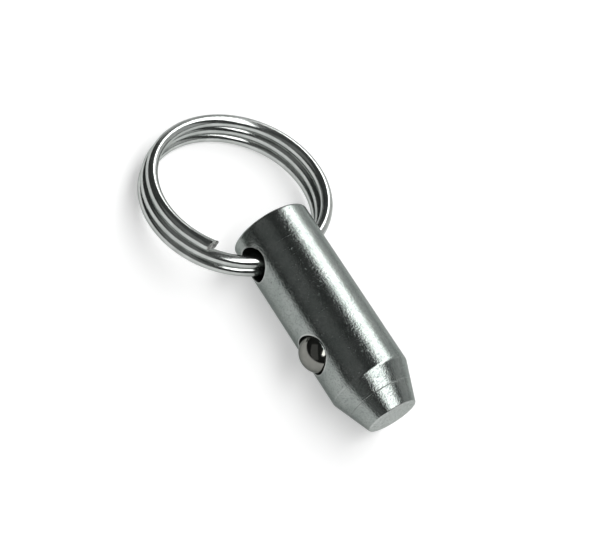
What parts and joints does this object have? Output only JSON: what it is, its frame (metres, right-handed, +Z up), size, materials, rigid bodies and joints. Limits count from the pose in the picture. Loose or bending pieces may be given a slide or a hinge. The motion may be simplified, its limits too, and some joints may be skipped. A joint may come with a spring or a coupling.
{
  "type": "quick release pin",
  "caption": "Turned steel pin with a tapered nose, a sprung detent ball that holds it in its hole, and a coiled split ring through its head end to pull it out.",
  "frame": {"origin": "centre of the head end face, on the pin's axis; the pin lies on its side, so the surface it rests on is half its diameter below", "axes": "+X along the pin from the head face to the nose, +Z up, and the detent ball looks along -Y"},
  "size_m": [0.0581, 0.0303, 0.0126],
  "materials": {
    "pin_steel": "bright plated turned steel, satin",
    "ball_steel": "polished",
    "spring_steel": "drawn wire",
    "ring_steel": "bright plated wire"
  },
  "bodies": {
    "pin": {"pin_body": "pin_steel", "detent_spring": "spring_steel"},
    "ball": {"detent_ball": "ball_steel"},
    "ring": {"split_ring": "ring_steel"}
  },
  "joints": [
    {"name": "ball_press", "type": "slide", "parent": "pin", "child": "ball", "axis": [0, 1, 0], "range_m": [0, 0.00145], "stiffness_N_per_m": 2500, "springref_m": -0.001, "deforming": ["detent_spring"]},
    {"name": "ring_swing", "type": "hinge", "parent": "pin", "child": "ring", "pos_m": [0.00475, 0, 0], "axis": [0, 1, 0], "range_deg": [-148, 162]}
  ]
}
